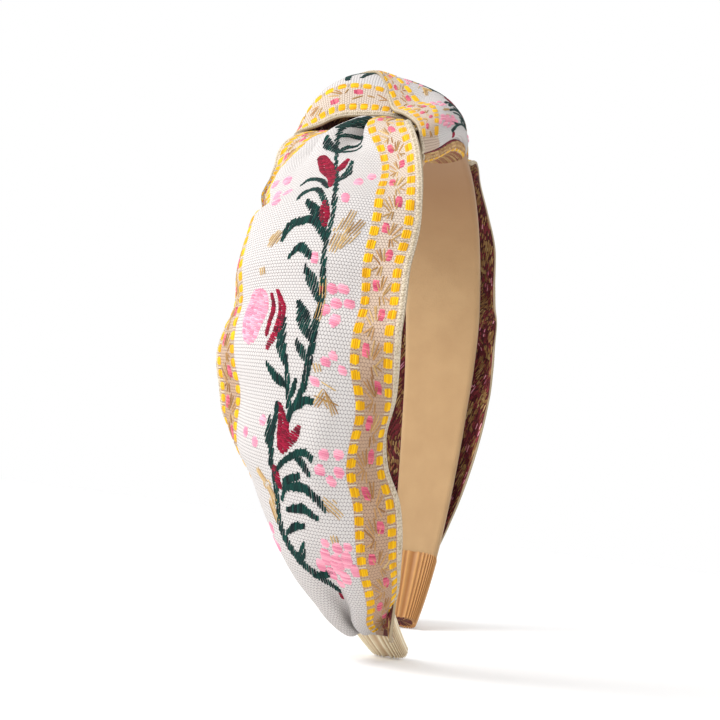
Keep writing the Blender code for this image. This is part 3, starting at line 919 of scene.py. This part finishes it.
PETALS = (
    (13.6, 53, 1.5, 2.4), (9.2, 56.6, 1.5, 2.6), (12.6, 62, 1.5, 2.4), (7.6, 66.5, 1.4, 2.4),
     (8.8, 73, 1.3, 2.0),
    (10.8, 67.6, 1.3, 1.8), (-11.4, 68, 1.0, 1.9), (-14, 65, 0.9, 1.7), (-9.6, 75, 0.9, 1.5),
     (-5.5, 90.6, 0.8, 1.5),
    (-9.8, 97.2, 1.1, 1.4), (-12.2, 97, 1.2, 1.5), (-13.8, 100.4, 1.2, 1.5), (-11.7, 104.2, 1.1, 1.5),
    (-9.0, 102.2, 1.0, 1.4), (-11.0, 100.6, 1.2, 1.4), (-11, 112, 0.9, 1.0), (-12.6, 110.8, 0.8, 1.0),
    (-14.4, 113.2, 0.8, 1.0), (-8.2, 115.6, 0.9, 1.0), (5, 124.4, 0.9, 1.2), (10.4, 127.6, 0.9, 1.3),
    (6.4, 129, 0.9, 1.2), (-11.2, 129, 1.0, 1.2), (-14.2, 128.8, 1.0, 1.2), (-10.6, 132, 1.0, 1.2),
    (-14.6, 132.2, 1.0, 1.2), (-12.8, 134, 0.9, 1.1), (5.4, 147, 1.0, 1.5), (3.8, 150.6, 1.0, 1.3),
    (6.6, 151, 1.0, 1.5), (-11.8, 150.8, 1.5, 2.5), (-9.4, 149.4, 1.1, 2.1), (-14.0, 149.6, 1.1, 2.1),
    (-7.9, 151.6, 0.9, 1.8), (-15.4, 152.2, 0.8, 1.7), (-9.9, 153.4, 1.1, 1.8), (-13.0, 153.8, 1.1, 1.7),
    (-12.2, 147.2, 1.0, 1.4), (-9.6, 146.4, 0.8, 1.1), (-14.4, 146.8, 0.8, 1.1), (-11.4, 155.6, 0.8, 0.9),
)
BLOOM = (9.0, 103.4, 3.9, 7.2)
CRIMSONS = (
    (((-2.0, 53.2), (-2.6, 58.5), (-4.2, 64), (-5, 70)), (2.6, 4.0, 2.2, 0.7)),
    (((-4.7, 61.5), (-6.2, 59.6), (-8.2, 56.6)), (0.6, 1.7, 0.7)),
    (((-5.1, 76.6), (-5.4, 79.4), (-5.9, 82.2)), (1.3, 2.5, 1.3)),
    (((3.4, 98), (1.2, 102.6), (0.8, 106.4), (3.0, 110.2)), (0.7, 1.7, 1.8, 0.7)),
    (((5.0, 98.8), (3.5, 103.2), (3.6, 107.6)), (0.6, 1.1, 0.7)),
    (((1.0, 120.6), (-0.2, 123.4), (-1.2, 127)), (0.7, 1.9, 2.6)),
    (((-4.6, 124.4), (-3.8, 126.4), (-1.6, 128)), (0.7, 2.0, 2.8)),
    (((-1.6, 124.2), (-1.6, 128.4)), (0.9, 2.8)),
    (((0.3, 133.4), (0.3, 136.4)), (1.6, 1.4)),
    (((-7.4, 97.2), (-7.4, 98.2)), (0.9, 0.9)),
    (((-9.5, 159.7), (-9.3, 161.0)), (0.8, 0.8)),
)


def within(floats, ends, margin):
    """The floats that keep the margin from both ends of a cloth."""
    low, high = ends[0] + margin, ends[1] - margin
    return [f for f in floats if low < min(f[1], f[3]) and max(f[1], f[3]) < high]


def vine_floats(mirror, shift, ends, rng):
    """The floats of the middle of the ribbon: leaves along it, flowers in short floats across it."""

    def moved(points):
        return [(u * mirror, v + shift) for u, v in points]

    def petal(u, v, half_u, half_v, longest):
        shape = oval(u * mirror, v + shift, half_u, half_v)
        return filled(shape, PINK, rng, across=True, slant=-0.2, longest=longest)

    floats = []
    for points, widths in VINE:
        floats += filled(trail(moved(points), widths), GREEN, rng)
    for points, widths in WHEAT:
        floats += strands(trail(moved(points), [WHEAT_SPREAD * wide for wide in widths]), TAN, rng)
    for place in PETALS:
        floats += petal(*place, LONGEST_FLOAT)
    floats += petal(*BLOOM, 1.6)
    for points, widths in CRIMSONS:
        floats += filled(trail(moved(points), widths), CRIMSON, rng, across=True, slant=-0.25, longest=1.5)
    return within(floats, ends, 0.8)


# The four yarns of a stitch, in quarters of its width from its middle. The outer ones are a little shorter.
STITCH_YARNS = (-1.5, -0.5, 0.5, 1.5)
OUTER_YARN_SHORTER = 0.24
# Where the stitches start to draw together down an arm, and over what length.
GATHER_FROM = 60
GATHER_REACH = 60


def stitch(middle, v, length, rng):
    """One yellow stitch: four yarns side by side."""
    floats = []
    for place in STITCH_YARNS:
        u = middle + place * DASH_WIDTH / 4
        short = OUTER_YARN_SHORTER * abs(place) / STITCH_YARNS[-1]
        start = v + short + rng.uniform(0, 0.14)
        end = v + length - short - rng.uniform(0, 0.14)
        floats.append((u - 0.04, start, u + 0.04, end, DASH_WIDTH / 4 + 0.16, YELLOW))
    return floats


def dash_floats(ends, rng, gathered, stretch):
    """The two rows of yellow stitches on each side, with a pale thread between each two."""
    floats = []
    for middle in (-INNER_DASH_U, -OUTER_DASH_U, INNER_DASH_U, OUTER_DASH_U):
        v = ends[0] + 1.2
        while v < ends[1] - DASH_LENGTH * stretch - 0.8:
            scale = stretch * (1 - gathered * float(smooth((v - GATHER_FROM) / GATHER_REACH)))
            floats += stitch(middle, v, DASH_LENGTH * scale, rng)
            between = v + (DASH_LENGTH + DASH_PITCH) / 2 * scale
            floats.append((middle - 0.95, between, middle + 0.95, between + 0.1, 0.34, CREAM))
            v += DASH_PITCH * scale
    return floats


# The yarns of one sprig, as places on both sides of the middle of the border.
SPRIG = (
    (0.3, 3.6, 2.3, 0.6), (0.1, 3.2, 1.4, -0.2), (-0.1, 3.0, 0.4, -0.4), (0.6, 4.2, 2.7, 2.0),
    (-0.3, 3.4, -1.2, 0.8), (0.4, 4.0, 1.3, 6.2), (0.1, 4.2, 0.4, 6.6), (0.8, 4.4, 2.4, 5.4),
)
SPRIG_PITCH = 6.8
SPRIG_YARN = 0.42
# Brown yarns grow more common along the borders, from this place and over this length.
BROWN_FROM = 80
BROWN_REACH = 40
CORD_PITCH = 0.62
CORD_INNER_U = 25.6
CORD_OUTER_U = 26.2


def sprig_floats(middle, swing, v, rng, sprigs):
    """A rose oval and a sprig on one side of the border's middle, and the other way for a swing of -1."""
    floats = []
    if rng.uniform() < 0.5 + sprigs / 2:
        floats += filled(oval(middle - swing * 1.1, v + 1.6, 0.72, 1.5), ROSE, rng, across=True, slant=-0.2)
    brown = 0.35 + 0.5 * float(smooth((v - BROWN_FROM) / BROWN_REACH))
    for u0, v0, u1, v1 in SPRIG:
        if rng.uniform() > sprigs:
            continue
        colour = BROWN if rng.uniform() < brown else TAN
        wander = rng.uniform(-0.3, 0.3, 2)
        start = (middle + swing * (u0 + wander[0]), v + v0 + wander[1])
        end = (middle + swing * (u1 + wander[0]), v + v1 + wander[1])
        floats.append((*start, *end, SPRIG_YARN, colour))
    return floats


def border_floats(ends, rng, sprigs):
    """Sprigs and rose ovals along each border, and the corded selvedge. sprigs is the share of yarns kept."""
    floats = []
    for sign in (-1, 1):
        middle = sign * (INNER_DASH_U + OUTER_DASH_U) / 2
        for k, v in enumerate(np.arange(ends[0] + 2.0, ends[1] - 6, SPRIG_PITCH)):
            floats += sprig_floats(middle, 1.0 if k % 2 else -1.0, v, rng, sprigs)
        for v in np.arange(ends[0] + 0.4, ends[1] - 0.6, CORD_PITCH):
            floats.append((sign * CORD_INNER_U, v + 0.4, sign * CORD_OUTER_U, v, 0.4, CREAM))
    return within(floats, ends, 0.3)


# The yarns laid along the fold under the knot: their places from its upper edge, and their colours.
HEM = (
    (0.3, PINK), (0.7, ROSE), (1.05, MAROON), (1.35, MAROON),
    (1.65, TAN), (1.95, BROWN), (2.3, TAN), (2.65, BROWN),
)
HEM_STITCH_V = (3.0, 3.35)
HEM_FILL = (3.8, 30.0)
HEM_FILL_COLOURS = [TAN, BROWN, MAROON, BROWN]
HEM_SEED = 23


def hem_floats(rng):
    """What shows under the knot: bands of yarn along the fold, yellow stitches, then brown yarns."""
    floats = []
    fill = [(v, rng.choice(HEM_FILL_COLOURS)) for v in np.arange(*HEM_FILL, FLOAT_PITCH)]
    for v, colour in (*HEM, *fill):
        for u in np.arange(-26.0, 25.2, 0.9):
            start, end = v + rng.uniform(-0.1, 0.1), v + rng.uniform(-0.1, 0.1)
            floats.append((u, start, u + 1.1, end, 0.5, colour))
    for u in np.arange(-25.6, 24.0, DASH_PITCH):
        for v in HEM_STITCH_V:
            floats.append((u, v, min(u + DASH_LENGTH, 26.0), v, 0.45, YELLOW))
    return floats


# The loose yarns of the reverse: their pitch across the ribbon, their lengths, and where they must stop.
LOOSE_PITCH = 0.56
LOOSE_RUN = (1.2, 2.8)
LOOSE_EDGE_U = 26.3


def loose_colour(u, v, rng):
    """Mostly dark red, with brown, tan and a little pink in patches."""
    patch = math.sin(u * 0.9 + v * 0.42) + math.sin(v * 0.31 - u * 0.35)
    choice = rng.uniform(-1.2, 1.2) + 0.8 * patch
    if choice > 1.2:
        return TAN
    if choice > 0.4:
        return BROWN
    return PINK if choice < -2.0 else MAROON


def reverse_floats(ends, rng):
    """Loose yarns over the reverse, slanting as the figures' yarns do there."""
    floats = []
    for u in np.arange(-25.6, 25.8, LOOSE_PITCH):
        v = ends[0] + rng.uniform(0.3, 2.0)
        while v < ends[1] - 3.2:
            run = rng.uniform(*LOOSE_RUN)
            colour = loose_colour(u, v, rng)
            slide = 0.35 * run
            left, right = max(u - slide / 2, -LOOSE_EDGE_U), min(u + slide / 2, LOOSE_EDGE_U)
            floats.append((left, v, right, v + run, 0.5, colour))
            v += run * rng.uniform(0.9, 1.25)
    return floats


# ------ camera, light and floor

CAMERA_PLACE = (-0.3219, -0.0740, 0.0358)
CAMERA_LENS = 58.75
CAMERA_SENSOR = 36.0
HEADING = -0.25
PITCH = -0.12
ROLL = 0.13
KEY_PLACE = (-0.34, 0.40, 0.40)
KEY_TARGET = (0, 0, 0.08)
KEY_SIZE = 0.3
KEY_ENERGY = 3.2
FLOOR_HALF = 1.5


def build_camera():
    data = bpy.data.cameras.new("camera")
    data.lens = CAMERA_LENS
    data.sensor_width = CAMERA_SENSOR
    data.clip_start = 0.01
    camera = bpy.data.objects.new("camera", data)
    bpy.context.scene.collection.objects.link(camera)
    level_look = math.cos(PITCH)
    look = Vector((math.cos(HEADING) * level_look, -math.sin(HEADING) * level_look, -math.sin(PITCH)))
    level = look.cross(Vector((0, 0, 1))).normalized()
    above = level.cross(look)
    right = level * math.cos(ROLL) + above * math.sin(ROLL)
    up = above * math.cos(ROLL) - level * math.sin(ROLL)
    turn = Matrix((right, up, -look)).transposed().to_4x4()
    camera.matrix_world = Matrix.Translation(CAMERA_PLACE) @ turn
    bpy.context.scene.camera = camera


def build_key_light():
    data = bpy.data.lights.new("key", "AREA")
    data.energy = KEY_ENERGY
    data.size = KEY_SIZE
    lamp = bpy.data.objects.new("key", data)
    lamp.location = KEY_PLACE
    lamp.rotation_euler = (Vector(KEY_TARGET) - Vector(KEY_PLACE)).to_track_quat("-Z", "Y").to_euler()
    bpy.context.scene.collection.objects.link(lamp)


def build_stage():
    """A white studio: an even world, a paper floor and one soft key light."""
    scene = bpy.context.scene
    scene.view_settings.view_transform = "Standard"
    world = bpy.data.worlds.new("studio")
    scene.world = world
    world.use_nodes = True
    background = world.node_tree.nodes["Background"]
    background.inputs["Color"].default_value = (1, 1, 1, 1)
    background.inputs["Strength"].default_value = 1.0
    mesh = bpy.data.meshes.new("floor")
    corners = [(x * FLOOR_HALF, y * FLOOR_HALF, 0) for x, y in ((-1, -1), (1, -1), (1, 1), (-1, 1))]
    mesh.from_pydata(corners, [], [(0, 1, 2, 3)])
    mesh.materials.append(floor_material())
    floor = bpy.data.objects.new("floor", mesh)
    scene.collection.objects.link(floor)
    build_key_light()


# ------ the ribbons


def ribbon_sheet(name, cloth, attach):
    """The woven cloth that stands for a ribbon node."""
    piece = sheet_mesh(name + "_cloth", cloth, RIBBON_THICKNESS, [WEAVE, REVERSE, SELVEDGE])
    attach(piece)
    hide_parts(name)
    return piece


def dress(
    base, cloth, seed, attach, mirror=1, shift=0.0, gathered=0.0, stretch=1.0, sprigs=1.0, reverse=True
):
    """The woven figures of a ribbon piece. Returns their pieces."""
    rng = np.random.default_rng(seed)
    ends = cloth.v[0], cloth.v[-1]
    pieces = []
    for name, floats in (
        ("figures", vine_floats(mirror, shift, ends, rng)),
        ("stitches", dash_floats(ends, rng, gathered, stretch)),
        ("border", border_floats(ends, rng, sprigs)),
    ):
        pieces.append(float_mesh(base + "_" + name, cloth, floats, seed=seed))
    if reverse:
        loose = reverse_floats(ends, rng)
        pieces.append(float_mesh(base + "_reverse", cloth, loose, front=False, seed=seed))
    for piece in pieces:
        attach(piece)
    return pieces


def build_arm_ribbon(side, name):
    cloth = arm_cloth(side)

    def attach(obj):
        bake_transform(obj)

    piece = ribbon_sheet("ribbon_" + name, cloth, attach)
    mirror = 1 if side < 0 else -1
    woven = dress("ribbon_" + name, cloth, 11 + side, attach, mirror=mirror, gathered=0.26)


def ride_crown(obj):
    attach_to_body(obj, "crown")


def cross_left_hinge(obj):
    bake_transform(obj)


def build_wrap(name, sections, attach, seed, shift, stretch):
    """One of the two passes over the knot."""
    cloth = knot_cloth(sections)
    piece = ribbon_sheet(name, cloth, attach)
    woven = dress(name, cloth, seed, attach, shift=shift, stretch=stretch, sprigs=0.5, reverse=False)


def build_under_pass():
    """The folds under the crown."""
    cloth = knot_cloth(UNDER_PASS)
    piece = ribbon_sheet("knot_under_pass", cloth, cross_left_hinge)
    border = float_mesh("knot_under_pass_border", cloth, hem_floats(np.random.default_rng(HEM_SEED)))
    cross_left_hinge(border)


def build_knot():
    build_wrap("knot_over_wrap", OVER_WRAP, ride_crown, seed=21, shift=-4.0, stretch=0.9)
    build_wrap("knot_cross_wrap", CROSS_WRAP, cross_left_hinge, seed=22, shift=-62.0, stretch=1.35)
    build_under_pass()


# ------ the lining

LINING_CLOTH = 0.7
LINING_ROWS = 160
LINING_COLUMNS = 41
LINING_HALF_FLAT = 14.0
LINING_END = 132
# The share of the lining's half width that lies flat. The rest turns a corner and then stands up.
FLAT_SHARE = 0.84
TURNED_SHARE = 0.16
CORNER_INSET = 0.7
CORNER_RADIUS = 0.8
LINING_RISE = 0.4
UPRIGHT = 1.3


def lining_cloth(side):
    """The lining from the crown to under the end wrap, with its edges turned up round the band's edges."""
    degrees = np.concatenate([np.linspace(0, 60, 61), np.linspace(60, LINING_END, 60)[1:]])
    angles = np.radians(degrees)[:, None]
    half = half_width(angles) + 0.1
    s = np.linspace(-1, 1, LINING_COLUMNS)[None, :]
    turn = np.clip((np.abs(s) - FLAT_SHARE) / TURNED_SHARE, 0, 1)
    flat_part = np.sign(s) * np.minimum(np.abs(s), FLAT_SHARE) / FLAT_SHARE
    corner = np.minimum(turn * 2, 1)
    upright = np.maximum(turn * 2 - 1, 0)
    across = flat_part * (half - CORNER_INSET) + np.sign(s) * CORNER_RADIUS * np.sin(corner * math.pi / 2)
    outward = LINING_RISE + CORNER_RADIUS * (1 - np.cos(corner * math.pi / 2)) + UPRIGHT * upright
    middle = arc(side, angles[:, 0], 0.0, 0.0)
    v = lengths(np.linalg.norm(np.diff(middle, axis=0), axis=1))
    even = np.linspace(0, v[-1], LINING_ROWS)
    grid = respaced(arc(side, angles, outward, across), v, even)
    u = np.linspace(-LINING_HALF_FLAT, LINING_HALF_FLAT, LINING_COLUMNS)
    return Cloth(grid, u, even).face(ARCH_MIDDLE).turned()


def build_lining(side, name):
    cloth = lining_cloth(side)
    piece = sheet_mesh("lining_" + name + "_suede", cloth, LINING_CLOTH, [SUEDE, SUEDE, SUEDE])
    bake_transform(piece)
    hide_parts("lining_" + name, "lining_crown")


# ------ the end wraps

WRAP_RIBS = 34
POINTS_A_RIB = 8
RIB_DEPTH = 0.2
WRAP_ROWS = 56
WRAP_LENGTH = 30.0
# The wrap's section is an oval of this power: 2 would be round, and more is squarer.
OVAL_POWER = 3.2
WRAP_MIDDLE = 1.65
WRAP_OVER_EDGE = 0.75
WRAP_HALF_THICK = 2.45
TIP_THINNER = 0.5
# The rows that close the end: how far each shrinks, and how far it is tucked in.
CLOSING_SIZES = [0.9, 0.78, 0.5, 0.02]
CLOSING_DIPS = [0.1, 0.35, 0.6, 0.7]


def wrap_cloth(side):
    """A sleeve over the tip, its ribs running along the arm, closed by a tucked-in end."""
    start, end = math.degrees(WRAP_ANGLE), math.degrees(TIP_ANGLE) - 0.3
    degrees = np.concatenate([np.linspace(start, end, WRAP_ROWS), np.full(len(CLOSING_SIZES), end)])
    shrink = np.concatenate([[0.97], np.full(WRAP_ROWS - 2, 1.0), [0.985], CLOSING_SIZES])
    angles = np.radians(degrees)[:, None]
    ring = np.linspace(0, 2 * math.pi, WRAP_RIBS * POINTS_A_RIB + 1)[None, :]
    c, s = np.cos(ring), np.sin(ring)
    round_c = np.sign(c) * np.abs(c) ** (2 / OVAL_POWER)
    round_s = np.sign(s) * np.abs(s) ** (2 / OVAL_POWER)
    ribs = RIB_DEPTH * np.cos(ring * WRAP_RIBS)
    wide = half_width(angles) + WRAP_OVER_EDGE
    thick = WRAP_HALF_THICK - TIP_THINNER * smooth((degrees[:, None] - 140) / 10)
    across = round_c * (wide + ribs) * shrink[:, None]
    outward = WRAP_MIDDLE + round_s * (thick + ribs) * shrink[:, None]
    grid = arc(side, angles, outward, across)
    dip = np.concatenate([np.zeros(WRAP_ROWS), CLOSING_DIPS])
    back = arc(side, angles, 0.0, 0.0) - arc(side, angles - 0.01, 0.0, 0.0)
    grid = grid - back * dip[:, None, None] / 0.9
    u = np.linspace(0, WRAP_RIBS, grid.shape[1])
    return Cloth(grid, u, np.linspace(0, WRAP_LENGTH, len(degrees)))


def build_end_wrap(side, name, material):
    cloth = wrap_cloth(side)
    rows, columns = cloth.grid.shape[:2]
    faces = grid_faces(rows, columns, flip=side > 0)
    index = np.where(np.arange(len(faces)) // (columns - 1) > WRAP_ROWS, 1, 0)
    points = cloth.grid.reshape(-1, 3)
    piece = new_mesh("end_wrap_" + name + "_ribbed", points, faces, [material, REVERSE], index, cloth.flat())
    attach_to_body(piece, "arm_" + name)
    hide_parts("end_wrap_" + name)


# ------ build

build_camera()
build_stage()
for node in ("core_crown", "core_left", "core_right"):
    for slot in bpy.data.objects[node].material_slots:
        slot.material = PLASTIC
for side, name, grosgrain in ((-1, "left", NEAR_GROSGRAIN), (1, "right", FAR_GROSGRAIN)):
    build_arm_ribbon(side, name)
    build_lining(side, name)
    build_end_wrap(side, name, grosgrain)
build_knot()
